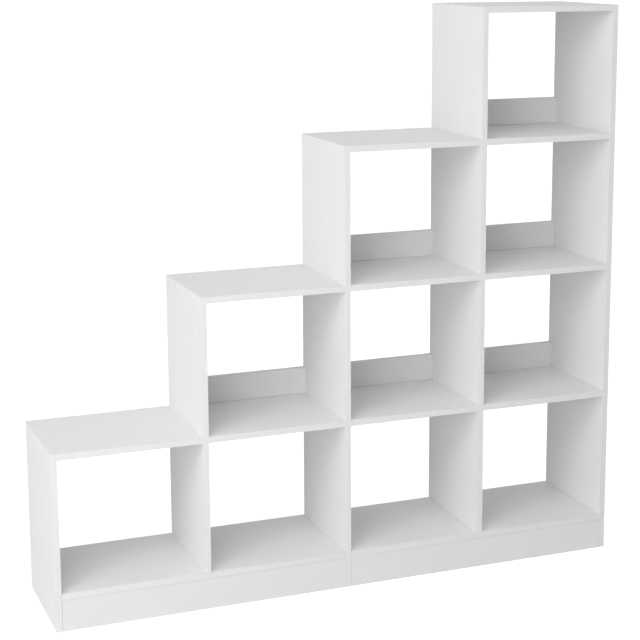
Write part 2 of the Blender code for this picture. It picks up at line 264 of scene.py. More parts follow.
def makeBoreTree():
    # bores a block at every spot: along its axis, to its radius and depth
    tree, start, end = newTree("boreTree", [
        ("Spots", "Object", None), ("Sides", "Int", 24), ("Mouth", "Float", 1.0), ("Wall", "Material", None)])
    spots = addNode(tree, "GeometryNodeObjectInfo", Object=start.outputs["Spots"])
    # a drill of radius and depth 1, which every spot brings to its own size
    drill = addNode(tree, "GeometryNodeMeshCone", Vertices=start.outputs["Sides"], Radius_Top=1.0,
                    Radius_Bottom=start.outputs["Mouth"], Depth=1.0)
    radius = spotValue(tree, "radius", "FLOAT")
    size = addNode(tree, "ShaderNodeCombineXYZ", X=radius, Y=radius, Z=spotValue(tree, "depth", "FLOAT"))
    drills = copiesAt(tree, spots.outputs["Geometry"], drill.outputs["Mesh"], turnToAxis(tree),
                      start.outputs["Wall"], Scale=size.outputs[0])
    cut = addNode(tree, "GeometryNodeMeshBoolean", {"operation": "DIFFERENCE", "solver": "EXACT"},
                  _0=start.outputs["Geometry"], _1=drills, Self_Intersection=True)
    tree.links.new(cut.outputs["Mesh"], end.inputs[0])
    return tree


def makeScatterTree():
    # a copy of one piece at every spot, turned to the spot's axis and facing
    tree, start, end = newTree("scatterTree", [("Piece", "Object", None), ("Finish", "Material", None)])
    piece = addNode(tree, "GeometryNodeObjectInfo", Object=start.outputs["Piece"])
    turned = addNode(tree, "FunctionNodeAlignRotationToVector", {"axis": "X", "pivot_axis": "Z"},
                     Rotation=turnToAxis(tree), Vector=spotValue(tree, "facing"))
    copies = copiesAt(tree, start.outputs["Geometry"], piece.outputs["Geometry"], turned.outputs[0],
                      start.outputs["Finish"])
    tree.links.new(copies, end.inputs[0])
    return tree


def makeDowelTree():
    # a fluted dowel with eased ends at every spot, from its tip back along its axis
    tree, start, end = newTree("dowelTree", [
        ("Radius", "Float", 0.004), ("Length", "Float", 0.03), ("Chamfer", "Float", 0.001),
        ("Flutes", "Int", 10), ("Flute Depth", "Float", 0.0003), ("Finish", "Material", None)])
    points, radius, length, chamfer, flutes, fluteDepth, finish = start.outputs[:7]
    sides = mathNode(tree, "MULTIPLY", flutes, 4.0)  # four to each flute
    rod = addNode(tree, "GeometryNodeMeshCylinder", Vertices=sides, Side_Segments=3, Radius=radius,
                  Depth=length)
    x, y, z = splitPosition(tree)
    # the cylinder's two inner rings move out to the chamfers, and its end rings draw in
    half = mathNode(tree, "MULTIPLY", length, 0.5)
    quarter = mathNode(tree, "MULTIPLY", length, 0.25)
    isEnd = mathNode(tree, "GREATER_THAN", mathNode(tree, "ABSOLUTE", z), quarter)
    inward = mathNode(tree, "MULTIPLY", mathNode(tree, "SUBTRACT", 1.0, isEnd), chamfer)
    height = mathNode(tree, "MULTIPLY", mathNode(tree, "SIGN", z), mathNode(tree, "SUBTRACT", half, inward))
    # the dip runs from nothing on a rib to the full depth in a flute
    angle = mathNode(tree, "ARCTAN2", y, x)
    wave = mathNode(tree, "COSINE", mathNode(tree, "MULTIPLY", angle, flutes))
    dip = mathNode(tree, "MULTIPLY", mathNode(tree, "MULTIPLY_ADD", wave, -0.5, 0.5), fluteDepth)
    loss = mathNode(tree, "DIVIDE", mathNode(tree, "MULTIPLY_ADD", isEnd, chamfer, dip), radius)
    share = mathNode(tree, "SUBTRACT", 1.0, loss)
    dowel = drawnIn(tree, rod.outputs["Mesh"], x, y, share, mathNode(tree, "SUBTRACT", height, half))
    tree.links.new(copiesAt(tree, points, dowel, turnToAxis(tree), finish), end.inputs[0])
    return tree


def makeThreadTree():
    # cuts a right-hand thread into a form turned about z, between two heights
    tree, start, end = newTree("threadTree", [
        ("Start", "Float", 0.0), ("End", "Float", 0.01), ("Pitch", "Float", 0.00175),
        ("Depth", "Float", 0.0008), ("Runout", "Float", 0.0008), ("Flank", "Float", 0.6)])
    form, first, last, pitch, depth, runout, flank = start.outputs[:7]
    x, y, z = splitPosition(tree)
    turns = mathNode(tree, "DIVIDE", mathNode(tree, "ARCTAN2", y, x), math.tau)
    phase = mathNode(tree, "FRACT", mathNode(tree, "SUBTRACT", mathNode(tree, "DIVIDE", z, pitch), turns))
    fromCrest = mathNode(tree, "ABSOLUTE", mathNode(tree, "MULTIPLY_ADD", phase, 2.0, -1.0))
    valley = mathNode(tree, "POWER", mathNode(tree, "SUBTRACT", 1.0, fromCrest), flank)
    below = mathNode(tree, "DIVIDE", mathNode(tree, "SUBTRACT", z, first), runout)
    above = mathNode(tree, "DIVIDE", mathNode(tree, "SUBTRACT", last, z), runout)
    inside = mathNode(tree, "MINIMUM", mathNode(tree, "MINIMUM", below, above), 1.0)
    mask = mathNode(tree, "MAXIMUM", inside, 0.0)
    dip = mathNode(tree, "MULTIPLY", mathNode(tree, "MULTIPLY", valley, mask), depth)
    squares = mathNode(tree, "MULTIPLY_ADD", x, x, mathNode(tree, "MULTIPLY", y, y))
    radius = mathNode(tree, "MAXIMUM", mathNode(tree, "SQRT", squares), depth)
    share = mathNode(tree, "SUBTRACT", 1.0, mathNode(tree, "DIVIDE", dip, radius))
    tree.links.new(drawnIn(tree, form, x, y, share, z), end.inputs[0])
    return tree


boreTree = makeBoreTree()
scatterTree = makeScatterTree()
dowelTree = makeDowelTree()
threadTree = makeThreadTree()
print("geometry node trees built")


# Finishes

def makePearlGroup():
    # the fine pressed relief of a laminate, with faint cloudy differences in tone
    group, start, end = newGroup(
        "pearlGroup", "ShaderNodeTree",
        [("Vector", "Vector", None), ("Grain Size", "Float", 0.0006), ("Cloud Size", "Float", 0.05)],
        [("Grain", "Float"), ("Cloud", "Float")])
    for label, detail, roughness in (("Grain", 2.0, 0.55), ("Cloud", 3.0, 0.5)):
        scale = mathNode(group, "DIVIDE", 1.0, start.outputs[label + " Size"])
        noise = addNode(group, "ShaderNodeTexNoise", Vector=start.outputs["Vector"], Scale=scale,
                        Detail=detail, Roughness=roughness)
        group.links.new(noise.outputs[0], end.inputs[label])
    return group


def makeStreakGroup():
    # streaks that run along one axis: turning marks on metal, fibres in wood
    group, start, end = newGroup(
        "streakGroup", "ShaderNodeTree",
        [("Vector", "Vector", None), ("Stretch", "Vector", (1.0, 1.0, 1.0)), ("Scale", "Float", 400.0)],
        [("Streak", "Float"), ("Speck", "Float")])
    spot = start.outputs["Vector"]
    stretched = addNode(group, "ShaderNodeVectorMath", {"operation": "MULTIPLY"}, _0=spot,
                        _1=start.outputs["Stretch"]).outputs[0]
    for label, vector, detail, roughness in (("Streak", stretched, 4.0, 0.6), ("Speck", spot, 1.0, 0.5)):
        noise = addNode(group, "ShaderNodeTexNoise", Vector=vector, Scale=start.outputs["Scale"],
                        Detail=detail, Roughness=roughness)
        group.links.new(noise.outputs[0], end.inputs[label])
    return group


pearlGroup = makePearlGroup()
streakGroup = makeStreakGroup()


def newMaterial(name):
    material = bpy.data.materials.new(name)
    material.use_nodes = True
    tree = material.node_tree
    spot = addNode(tree, "ShaderNodeTexCoord").outputs["Object"]
    return material, tree, tree.nodes["Principled BSDF"], spot


def useGroup(tree, group, **inputs):
    return addNode(tree, "ShaderNodeGroup", {"node_tree": group}, **inputs).outputs


def blendTones(tree, share, first, second):
    node = addNode(tree, "ShaderNodeMix", {"data_type": "FLOAT"}, _0=share, _2=first, _3=second)
    return node.outputs[0]


def dressShader(tree, shader, look, tone, height, rough=None):
    # a colour between the look's two, relief, and roughness that is even or follows a pattern
    ramp = addNode(tree, "ShaderNodeValToRGB", _0=tone)
    for element, colour in zip(ramp.color_ramp.elements, (look["dark"], look["light"])):
        element.color = (*colour, 1)
    tree.links.new(ramp.outputs[0], shader.inputs["Base Color"])
    bump = addNode(tree, "ShaderNodeBump", Height=height, Distance=look["bumpDistance"],
                   Strength=look["bumpStrength"])
    tree.links.new(bump.outputs[0], shader.inputs["Normal"])
    if rough is None:
        shader.inputs["Roughness"].default_value = look["roughness"]
    else:
        spread = addNode(tree, "ShaderNodeMapRange", Value=rough, To_Min=look["roughLow"],
                         To_Max=look["roughHigh"])
        tree.links.new(spread.outputs[0], shader.inputs["Roughness"])


laminateLook = {
    "dark": (0.775, 0.775, 0.775), "light": (0.815, 0.815, 0.815),
    "grainSize": 0.0007, "cloudSize": 0.06, "grainShare": 0.35, "roughLow": 0.62, "roughHigh": 0.74,
    "bumpDistance": 0.00002, "bumpStrength": 0.5,
}
bandLook = {
    "dark": (0.785, 0.785, 0.785), "light": (0.820, 0.820, 0.820),
    "grainSize": 0.0004, "cloudSize": 0.02, "grainShare": 0.35, "roughLow": 0.60, "roughHigh": 0.72,
    "bumpDistance": 0.00001, "bumpStrength": 0.4,
}


def pearlMaterial(name, look):
    material, tree, shader, spot = newMaterial(name)
    grain, cloud = useGroup(tree, pearlGroup, Vector=spot, Grain_Size=look["grainSize"],
                            Cloud_Size=look["cloudSize"])
    dressShader(tree, shader, look, blendTones(tree, look["grainShare"], cloud, grain), grain, grain)
    return material


chipLook = {
    "dark": (0.42, 0.32, 0.21), "light": (0.72, 0.60, 0.44),  # resin and chips
    "chipSize": 0.0022, "stretch": (0.3, 0.3, 1.0), "scale": 900.0, "streakShare": 0.5,
    "roughness": 0.85, "bumpDistance": 0.0004, "bumpStrength": 0.7,
}


def chipMaterial(name, look):
    # flat chips with fibres in them, each at its own height
    material, tree, shader, spot = newMaterial(name)
    chips = addNode(tree, "ShaderNodeTexVoronoi", Vector=spot, Scale=1 / look["chipSize"], Randomness=1.0)
    chip = addNode(tree, "ShaderNodeSeparateColor", _0=chips.outputs["Color"]).outputs[0]
    streak, speck = useGroup(tree, streakGroup, Vector=spot, Stretch=look["stretch"], Scale=look["scale"])
    dressShader(tree, shader, look, blendTones(tree, look["streakShare"], chip, streak),
                mathNode(tree, "ADD", chip, speck))
    return material


# colourFrom and roughFrom name the pattern that the colour and the roughness follow
beechLook = {
    "dark": (0.50, 0.33, 0.19), "light": (0.72, 0.54, 0.36), "metallic": 0.0,
    "stretch": (0.15, 1.0, 1.0), "scale": 700.0, "colourFrom": "Streak", "roughFrom": "Speck",
    "roughLow": 0.55, "roughHigh": 0.72, "bumpDistance": 0.0001, "bumpStrength": 0.6,
}
zincLook = {
    "dark": (0.50, 0.50, 0.49), "light": (0.72, 0.71, 0.68), "metallic": 1.0,
    "stretch": (1.0, 0.2, 0.2), "scale": 1500.0, "colourFrom": "Speck", "roughFrom": "Streak",
    "roughLow": 0.26, "roughHigh": 0.44, "bumpDistance": 0.00002, "bumpStrength": 0.5,
}
castLook = {
    "dark": (0.46, 0.46, 0.46), "light": (0.66, 0.66, 0.65), "metallic": 1.0,
    "stretch": (1.0, 1.0, 1.0), "scale": 900.0, "colourFrom": "Speck", "roughFrom": "Streak",
    "roughLow": 0.38, "roughHigh": 0.60, "bumpDistance": 0.00006, "bumpStrength": 0.5,
}


def streakMaterial(name, look):
    material, tree, shader, spot = newMaterial(name)
    pattern = useGroup(tree, streakGroup, Vector=spot, Stretch=look["stretch"], Scale=look["scale"])
    shader.inputs["Metallic"].default_value = look["metallic"]
    dressShader(tree, shader, look, pattern[look["colourFrom"]], pattern["Streak"],
                pattern[look["roughFrom"]])
    return material


whiteLaminate = pearlMaterial("whiteLaminate", laminateLook)
whiteBand = pearlMaterial("whiteEdgeBand", bandLook)
sawnChipboard = chipMaterial("sawnChipboard", chipLook)
beechDowel = streakMaterial("beechDowel", beechLook)
zincSteel = streakMaterial("zincSteel", zincLook)
castZinc = streakMaterial("castZinc", castLook)
boardMaterials = [whiteLaminate, whiteBand, sawnChipboard]
laminateFace, bandFace, sawnFace = range(3)
print("finishes built")


# Fittings: where every dowel, bolt, cam and screw goes, and the bores that they need

dowelSizes = {
    "radius": 0.004, "edge": 0.030,  # axis to the board's front or back edge
    "inUpright": 0.007,  # depth of its bore in an upright
    "inBottom": 0.009,  # a plinth's dowel above the plinth
    "inBaseEnd": 0.030,  # the long dowel below the top of the bottom board
    "railEdge": 0.018,  # axis to a rail's top or bottom edge
    "plinthEnd": 0.060,  # a plinth's end to its first top dowel
    "length": 0.030, "longLength": 0.052, "chamfer": 0.0009, "flutes": 10, "fluteDepth": 0.0003,
}
camSizes = {
    "setback": 0.024,  # cam axis to the upright's face
    "radius": 0.0075, "depth": 0.0125,  # of the pocket
    "sleeve": 0.004,  # radius of the bore that takes the bolt in a shelf's end
}

bores = {node: [] for node in box}
countersinks = {node: [] for node in box}
dowelSpots, longDowelSpots, camSpots, screwSpots = [], [], [], []
singleBolts, doubleBolts = {"nodes": [], "spots": []}, {"nodes": [], "spots": []}


def addBore(node, point, axis, radius, depth):
    # the cutter starts outside the face, so that the two never lie in one plane
    axis = Vector(axis)
    bores[node].append({
        "point": Vector(point) - axis * fit["overcut"], "axis": axis,
        "radius": radius, "depth": depth + fit["overcut"]})


def joinWithDowel(owner, point, axis, others, ahead, gap, spots=dowelSpots, length=dowelSizes["length"]):
    # point lies on the owner's face, ahead is how far the dowel stands out of it,
    # and gap is the distance to the face of the board that it enters
    point, axis = Vector(point), Vector(axis)
    radius = dowelSizes["radius"] + fit["borePlay"]
    spots.append({"point": point + axis * ahead, "axis": axis})
    addBore(owner, point, -axis, radius, length - ahead + fit["endPlay"])
    for other in others:
        addBore(other, point + axis * gap, axis, radius, ahead - gap + fit["endPlay"])


def nearestLeft(x, nodes):
    return max((node for node in nodes if box[node][1].x < x), key=lambda node: box[node][1].x)


def nearestRight(x, nodes):
    return min((node for node in nodes if box[node][0].x > x), key=lambda node: box[node][0].x)


onFloor = [node for node in uprightNodes if box[node][0].z < fit["seat"]] + ["base_end_right"]
dowelYs = (front + dowelSizes["edge"], back - dowelSizes["edge"])
body = {}  # lowest and highest corner of each board without its dowels
neighbours = {}


def middleOf(node):
    return (box[node][0] + box[node][1]) / 2


def spanBetween(node, standing, leftPlay, rightPlay):
    # a board that reaches from one standing board to the next, with its gap to each
    low, high = box[node][0].copy(), box[node][1].copy()
    x = middleOf(node).x
    left, right = nearestLeft(x, standing), nearestRight(x, standing)
    low.x = box[left][1].x + leftPlay
    high.x = box[right][0].x - rightPlay
    neighbours[node] = (left, right)
    body[node] = (low, high)


def boardOver(plinth):
    return "bottom_board_" + plinth.split("_")[-1]


def planBoards():
    for node in uprightNodes + ["base_end_right"]:
        body[node] = (box[node][0].copy(), box[node][1].copy())
    body["side_right"][0].z = bottomTop + fit["seat"]
    for nodes, standing, play in (
            (shelfNodes, uprightNodes, fit["tight"]), (railNodes, uprightNodes, fit["seat"]),
            (bottomNodes, onFloor, fit["seat"])):
        for node in nodes:
            spanBetween(node, standing, play, play)
    body["bottom_board_right"][1].x = cadBox[1].x  # runs out over the base end, mitred to it
    for node in plinthNodes:
        # its ends are slightly open joints, but for a right end that meets a divider
        atEnd = neighbours[boardOver(node)][1] == "base_end_right"
        spanBetween(node, onFloor, fit["plinthPlay"], fit["plinthPlay"] if atEnd else fit["tight"])
        body[node][1].z = body["bottom_board_left"][0].z - fit["seat"]


def joinEnds(node, places):
    # dowels in both ends of a board between two standing ones, at places across its ends
    low, high = body[node]
    left, right = neighbours[node]
    for y, z in places:
        for x, side, other in ((low.x, -1, left), (high.x, 1, right)):
            if node == "bottom_board_right" and other == "base_end_right":
                continue  # mitred there
            face = box[other][1].x if side < 0 else box[other][0].x
            gap = abs(face - x)
            ahead = gap + dowelSizes["inUpright"] - fit["endPlay"]
            joinWithDowel(node, (x, y, z), side * xAxis, [other], ahead, gap)


def planDowels():
    for node in shelfNodes + bottomNodes:
        joinEnds(node, [(y, middleOf(node).z) for y in dowelYs])
    for node in railNodes:
        low, high = body[node]
        edge = dowelSizes["railEdge"]
        joinEnds(node, [(middleOf(node).y, z) for z in (low.z + edge, high.z - edge)])
    for node in plinthNodes:
        low, high = body[node]
        y = middleOf(node).y
        joinEnds(node, [(y, body["bottom_board_left"][0].z / 2)])
        ahead = fit["seat"] + dowelSizes["inBottom"]
        for x in (low.x + dowelSizes["plinthEnd"], high.x - dowelSizes["plinthEnd"]):
            joinWithDowel(node, (x, y, high.z), zAxis, [boardOver(node)], ahead, fit["seat"])
    x = middleOf("side_right").x
    for y in dowelYs:
        joinWithDowel("side_right", (x, y, body["side_right"][0].z), -zAxis,
                      ["bottom_board_right", "base_end_right"], dowelSizes["inBaseEnd"], fit["seat"],
                      longDowelSpots, dowelSizes["longLength"])


def shelfAt(x, z):
    for node in shelfNodes:
        low, high = box[node]
        if low.x < x < high.x and low.z < z < high.z:
            return node


def planBolts():
    # every bolt node says where its bores go; a shelf hangs on each side that it reaches into
    for node in boltNodes:
        low, high = box[node]
        middle = middleOf(node)
        owner = node[len("bolt_"):].split("_level_")[0]
        faces = {-1: box[owner][0].x, 1: box[owner][1].x}
        ends = {-1: low.x, 1: high.x}
        sides = [side for side in faces if side * (ends[side] - faces[side]) > boardThickness]
        main = sides[-1]  # the bolt is set out from the upright's face on this side
        outward = main * xAxis
        start = Vector((faces[main], middle.y, middle.z))
        isDouble = len(sides) == 2
        bolts = doubleBolts if isDouble else singleBolts
        bolts["nodes"].append(node)
        bolts["spots"].append({"point": start, "axis": outward, "facing": zAxis})
        inner = abs(start.x - ends[-main])
        depth = boardThickness + fit["overcut"] if isDouble else inner + fit["endPlay"]
        addBore(owner, start, -outward, (high.z - low.z) / 2 + fit["borePlay"], depth)
        for side in sides:
            shelf = shelfAt(faces[side] + side * camSizes["setback"], middle.z)
            end = Vector((faces[side] + side * fit["seat"], middle.y, middle.z))
            addBore(shelf, end, side * xAxis, camSizes["sleeve"], camSizes["setback"])
            cam = Vector((faces[side] + side * camSizes["setback"], middle.y, box[shelf][0].z))
            addBore(shelf, cam, zAxis, camSizes["radius"], camSizes["depth"])
            camSpots.append({"point": cam, "axis": zAxis, "facing": -side * xAxis})


screwSizes = {"radius": 0.0032, "headRadius": 0.005, "headHeight": 0.003}


def planScrews():
    # through a bottom board into the upright that stands on it
    for node in screwNodes:
        low, high = box[node]
        middle = middleOf(node)
        owner = node[len("screw_"):].rsplit("_", 1)[0]
        board = bottomNodes[0] if low.x < box[bottomNodes[0]][1].x else bottomNodes[1]
        point = Vector((middle.x, middle.y, low.z))
        foot = Vector((middle.x, middle.y, box[owner][0].z))
        radius = screwSizes["radius"] + fit["borePlay"]
        screwSpots.append({"point": point, "axis": zAxis, "facing": xAxis})
        addBore(board, point, zAxis, radius, boardThickness + fit["overcut"])
        addBore(owner, foot, zAxis, radius, high.z - foot.z + fit["endPlay"])
        mouth = screwSizes["headRadius"] + fit["borePlay"]
        slope = (mouth - radius) / screwSizes["headHeight"]
        lead = fit["overcut"]  # the cone starts outside the face too, and is wider there
        countersinks[board].append({
            "point": point - zAxis * lead, "axis": zAxis, "radius": radius,
            "depth": screwSizes["headHeight"] + lead, "mouth": (mouth + slope * lead) / radius})


planBoards()
planDowels()
planBolts()
planScrews()
print("fittings planned:", len(dowelSpots) + len(longDowelSpots), "dowels,", len(camSpots), "cams,",
      len(boltNodes), "bolts,", len(screwSpots), "screws")


# Boards: a chipboard core between two laminate faces, with a glued band on each edge

boardSizes = {
    "band": 0.0008, "glueLine": 0.00003,  # thickness of an edge band, and of the glue under it
    "round": 0.00035, "roundSteps": 3,  # the eased outer edges of a band
    "mitreTip": 0.0004,  # flat left at the tip of the mitred bottom board
    "mitreShort": 0.0003,  # how far a band ends short of the mitre
    "boreSides": 24,
}
skin = boardSizes["band"] + boardSizes["glueLine"]


def addBlock(bm, low, high, material):
    size = high - low
    verts = bmesh.ops.create_cube(bm, size=1.0)["verts"]
    for vert in verts:
        vert.co = Vector([low[i] + (vert.co[i] + 0.5) * size[i] for i in range(3)])
    faces = list(dict.fromkeys(face for vert in verts for face in vert.link_faces))
    for face in faces:
        face.material_index = material
    return faces


def addCore(bm, low, high, thin, banded):
    # the core stops short of each banded edge; thin is the axis of the board's thickness
    low, high = low.copy(), high.copy()
    for axis, side in banded:
        if side < 0:
            low[axis] += skin
        else:
            high[axis] -= skin
    faces = addBlock(bm, low, high, sawnFace)
    bm.normal_update()
    for face in faces:
        if round(abs(face.normal[thin])):  # it looks along the thickness
            face.material_index = laminateFace


def addBand(bm, low, high, axis, side, passed, easedRuns):
    # one band along an edge, shorter where earlier bands pass its ends on the passed axes;
    # its outer edges are eased where they run along one of the eased axes
    low, high = low.copy(), high.copy()
    for other in passed:
        low[other] += skin
        high[other] -= skin
    if side < 0:
        high[axis] = low[axis] + boardSizes["band"]
        outer = low[axis]
    else:
        low[axis] = high[axis] - boardSizes["band"]
        outer = high[axis]
    faces = addBlock(bm, low, high, bandFace)
    eased = []
    for edge in dict.fromkeys(edge for face in faces for edge in face.edges):
        first, second = [vert.co for vert in edge.verts]
        isOuter = all(abs(place[axis] - outer) < samePlace for place in (first, second))
        if isOuter and any(abs(first[run] - second[run]) > samePlace for run in easedRuns):
            eased.append(edge)
    if eased:
        made = bmesh.ops.bevel(bm, geom=eased, offset=boardSizes["round"], segments=boardSizes["roundSteps"],
                               profile=0.5, affect="EDGES", clamp_overlap=True)
        for face in made["faces"]:
            face.smooth = True


def cutPlane(bm, point, normal, material):
    # takes away what lies on the normal's side, and closes what the cut opened
    parts = bm.verts[:] + bm.edges[:] + bm.faces[:]
    bmesh.ops.bisect_plane(bm, geom=parts, plane_co=point, plane_no=normal, clear_outer=True)
    openEdges = [edge for edge in bm.edges if edge.is_boundary]
    for face in bmesh.ops.holes_fill(bm, edges=openEdges, sides=0)["faces"]:
        face.material_index = material
        face.smooth = False


def makeBoard(node, thin, shown, joined, mitreCut=None):
    # bands on the shown edges are eased, and those on edges in a joint are trimmed square;
    # a board that isn't upright ends in joints, so only its edges along x are eased
    low, high = body[node]
    runs = (0, 1, 2) if thin == 0 else (0,)
    core, bands = bmesh.new(), bmesh.new()
    addCore(core, low, high, thin, [*shown, *joined])
    before = []
    for axis, side in [*shown, *joined]:
        passed = {other for other in before if other != axis}
        eased = (passed or runs) if (axis, side) in shown else ()
        addBand(bands, low, high, axis, side, passed, eased)
        before.append(axis)
    if mitreCut:
        point, slope = mitreCut
        cutPlane(core, point, slope, sawnFace)
        cutPlane(bands, point - slope * boardSizes["mitreShort"], slope, bandFace)
    strips = meshFrom(bands, node + "_bands")
    core.from_mesh(strips)
    bpy.data.meshes.remove(strips)
    thing = newObject(node + "_board", meshFrom(core, node + "_board", boardMaterials))
    helpers = []
    for label, spots in (("bores", bores[node]), ("countersinks", countersinks[node])):
        if not spots:
            continue
        helper = newObject(node + label, spotMesh(node + label, spots, ("axis",), ("radius", "depth")))
        applyTree(thing, boreTree, {
            "Spots": helper, "Sides": boardSizes["boreSides"], "Mouth": spots[0].get("mouth", 1.0),
            "Wall": sawnChipboard})
        helpers.append(helper)
    bakeModifiers(thing)
    for helper in helpers:
        bpy.data.objects.remove(helper)
    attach(thing, "root")
    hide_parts(node)


# an edge is the axis that it faces along, and the side
frontEdge, backEdge, topEdge, footEdge, leftEnd, rightEnd = (1, -1), (1, 1), (2, 1), (2, -1), (0, -1), (0, 1)
mitrePoint = Vector((cadBox[1].x, 0, bottomTop - boardSizes["mitreTip"]))
mitreSlope = Vector((1, 0, -1)).normalized()
mitreDrop = Vector((0, 0, fit["seat"] * math.sqrt(2)))  # leaves the seat's gap square to the mitre
for node in uprightNodes:
    makeBoard(node, 0, [frontEdge, backEdge, topEdge], [footEdge])
makeBoard("base_end_right", 0, [frontEdge, backEdge], [footEdge], (mitrePoint - mitreDrop, -mitreSlope))
print("uprights made")
for node in [*shelfNodes, "bottom_board_left"]:
    makeBoard(node, 2, [frontEdge, backEdge], [leftEnd, rightEnd])
makeBoard("bottom_board_right", 2, [frontEdge, backEdge], [leftEnd], (mitrePoint, mitreSlope))
print("shelves and bottom boards made")
for node in railNodes:
    makeBoard(node, 1, [topEdge, footEdge], [leftEnd, rightEnd])
for node in plinthNodes:
    makeBoard(node, 1, [footEdge], [topEdge, leftEnd, rightEnd])
print("rails and plinths made")


# Dowels

def pieceAtSpots(name, spots, vectors, tree, finish, values):
    # one piece that holds a copy for every spot
    thing = newObject(name, spotMesh(name, spots, vectors))
    applyTree(thing, tree, {"Finish": finish, **values})
    bakeModifiers(thing)
    thing.data.materials.clear()
    thing.data.materials.append(finish)
    roundShade(thing.data)
    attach(thing, "root")
    return thing


def makeDowels(name, spots, length):
    pieceAtSpots(name, spots, ("axis",), dowelTree, beechDowel, {
        "Radius": dowelSizes["radius"], "Length": length, "Chamfer": dowelSizes["chamfer"],
        "Flutes": dowelSizes["flutes"], "Flute Depth": dowelSizes["fluteDepth"]})


makeDowels("fluted_dowels", dowelSpots, dowelSizes["length"])
makeDowels("long_dowels", longDowelSpots, dowelSizes["longLength"])
print("dowels made")


# Connecting bolts

boltSizes = {
    "radius": 0.003, "tipRadius": 0.0019,
    "tipLength": 0.0010, "bury": 0.0105,  # how far the thread goes into the upright
    "threadPitch": 0.00175, "threadDepth": 0.0008, "threadRings": 6,  # rings for each pitch
    "threadRunout": 0.0008,
    "collarRadius": 0.0036, "collarLength": 0.0010, "collarFillet": 0.0003,
    "grooveDepth": 0.0003, "grooveWidth": 0.0006, "groovePlaces": (0.006, 0.012),
    "neckRadius": 0.0018, "neckLength": 0.005,
    "headRadius": 0.0032, "headLength": 0.004, "headSteps": 4,
    "headEnd": 0.7,  # end radius over the full radius
    "driveSpan": 0.0032, "driveWidth": 0.0008, "driveDepth": 0.0012,
    "sides": 18,
}


def boltEnd():
    # shank, neck and head, outwards from the upright's face
    s = boltSizes
    headStart = camSizes["setback"] - s["headLength"] / 2
    neckStart = headStart - s["neckLength"]
    ease = s["grooveDepth"]
    end = []
    for place in s["groovePlaces"]:
        end += [(place, s["radius"]), (place + ease, s["radius"] - ease),
                (place + ease + s["grooveWidth"], s["radius"] - ease),
                (place + 2 * ease + s["grooveWidth"], s["radius"])]
    full, neck = s["radius"], s["neckRadius"]
    end += [(neckStart - ease, full), (neckStart, full - ease), (neckStart, neck + ease),
            (neckStart + ease, neck), (headStart - ease, neck), (headStart, neck + ease),
            (headStart, s["headRadius"] - ease), (headStart + ease, s["headRadius"])]
    # the head's shoulder rounds over towards its end
    small = s["headRadius"] * s["headEnd"]
    for i in range(1, s["headSteps"] + 1):
        angle = math.pi / 2 * i / s["headSteps"]
        along = headStart + ease + (s["headLength"] - ease) * math.sin(angle)
        end.append((along, small + (s["headRadius"] - small) * math.cos(angle)))
    return end


recessTaper = 0.75  # floor of a cross recess over its mouth


def driveRecess(name, look, place, outward):
    # a cross recess that narrows towards its floor, cut into an end that faces outward along z
    outline = crossOutline(look["driveSpan"], look["driveWidth"])
    mesh = prism(name, outline, -fit["overcut"], look["driveDepth"], recessTaper)
    turn = Matrix.Identity(4) if outward < 0 else Matrix.Rotation(math.pi, 4, "X")
    mesh.transform(Matrix.Translation((0, 0, place)) @ turn)
    return mesh


def makeBoltBlank(name, profile, recessPlaces):
    blank = newObject(name, turnedForm(name, profile, boltSizes["sides"]))
    cutWith(blank, [driveRecess(f"{name}Drive{i}", boltSizes, place, outward)
                    for i, (place, outward) in enumerate(recessPlaces)])
    return blank


def scatterPiece(name, piece, spots, finish, nodes=()):
    # a metal piece with a copy of the given one at every spot, in place of the nodes
    thing = pieceAtSpots(name, spots, ("axis", "facing"), scatterTree, finish, {"Piece": piece})
    bpy.data.objects.remove(piece)
    if nodes:
        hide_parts(*nodes)


def makeSingleBolt():
    s = boltSizes
    first, last = s["tipLength"] - s["bury"], -s["collarLength"] / 2
    step = s["threadPitch"] / s["threadRings"]
    profile = [(-s["bury"], s["tipRadius"])]
    profile += [(first + i * step, s["radius"]) for i in range(round((last - first) / step))]
    profile += [(0, s["radius"]), (0, s["collarRadius"]), (s["collarLength"], s["collarRadius"]),
                (s["collarLength"] + s["collarFillet"], s["radius"])]
    profile += boltEnd()
    bolt = makeBoltBlank("singleBolt", profile, [(profile[-1][0], 1)])
    applyTree(bolt, threadTree, {
        "Start": -s["bury"] - s["threadPitch"], "End": last, "Pitch": s["threadPitch"],
        "Depth": s["threadDepth"], "Runout": s["threadRunout"]})
    bakeModifiers(bolt)
    return bolt


def makeDoubleBolt():
    outer = boltEnd()
    profile = [(-boardThickness - along, radius) for along, radius in reversed(outer)] + outer
    return makeBoltBlank("doubleBolt", profile, [(profile[-1][0], 1), (profile[0][0], -1)])


scatterPiece("single_bolts", makeSingleBolt(), singleBolts["spots"], zincSteel, singleBolts["nodes"])
scatterPiece("double_bolts", makeDoubleBolt(), doubleBolts["spots"], zincSteel, doubleBolts["nodes"])
print("bolts made")


# Cams

camLook = {
    "play": 0.0002, "rim": 0.0005,
    "cavityRadius": 0.0052, "cavityHalf": 0.0034,  # the hollow that takes the bolt's head
    "slotHalf": 0.0021, "slotInner": 0.0031, "slotSteps": 12,
    "slotFrom": -22, "slotTo": 125,  # degrees from the bolt
    "entryRadius": 0.0034, "entryAt": 125, "entrySides": 20,
    "driveSpan": 0.0066, "driveWidth": 0.0017, "driveDepth": 0.0028,
    "arrowInner": 0.0041, "arrowOuter": 0.0060, "arrowHalf": 0.0011, "arrowDepth": 0.0004,
    "sides": 40,
}


